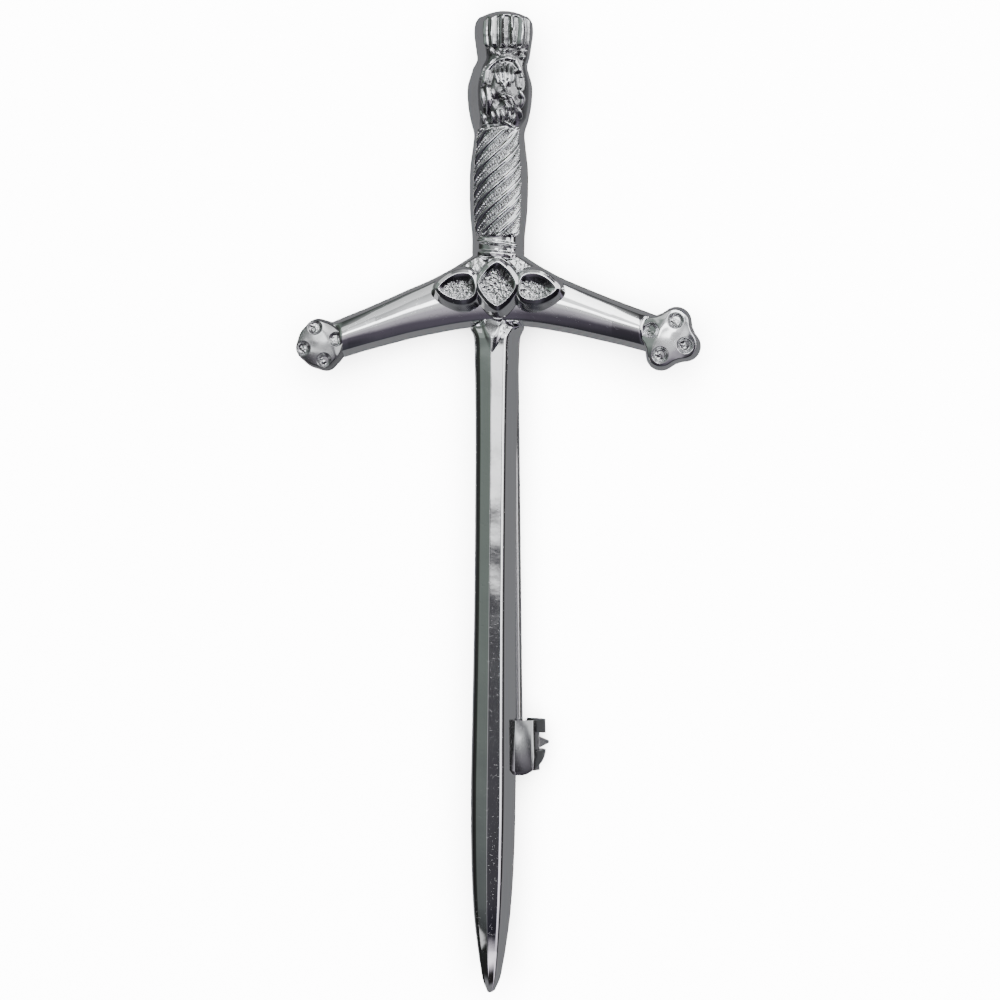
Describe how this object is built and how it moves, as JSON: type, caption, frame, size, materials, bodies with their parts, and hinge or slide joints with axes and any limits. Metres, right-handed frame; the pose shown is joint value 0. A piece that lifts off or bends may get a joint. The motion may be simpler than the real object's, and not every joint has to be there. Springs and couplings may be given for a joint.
{
  "type": "kilt pin",
  "caption": "Sword-shaped kilt pin with a thistle pommel, rope-twist grip and drooping guard with four-lobed ends, and on its back a hinged pin stem and a turning safety catch.",
  "frame": {"origin": "middle of the footprint, on the surface that the pin lies on face up", "axes": "+Y along the sword to the thistle, +Z out of the face, +X to the face's right, where the catch shows beside the blade"},
  "size_m": [0.0416, 0.1, 0.0088],
  "materials": {
    "plated_casting": "bright chrome plate over a cast relief",
    "steel": "bright drawn steel wire"
  },
  "bodies": {
    "sword": {"sword": "plated_casting", "rivet": "steel"},
    "pin": {"pin_stem": "steel"},
    "lock": {"catch_lock": "plated_casting"}
  },
  "joints": [
    {"name": "pin_swing", "type": "hinge", "parent": "sword", "child": "pin", "pos_m": [0.0013, 0.0207, 0.00279], "axis": [0.9998, 0.0196, 0], "range_deg": [0, 100]},
    {"name": "lock_turn", "type": "hinge", "parent": "sword", "child": "lock", "pos_m": [0.0022, -0.02529, 0.00279], "axis": [-0.0196, 0.9998, 0], "range_deg": [0, 100]}
  ]
}
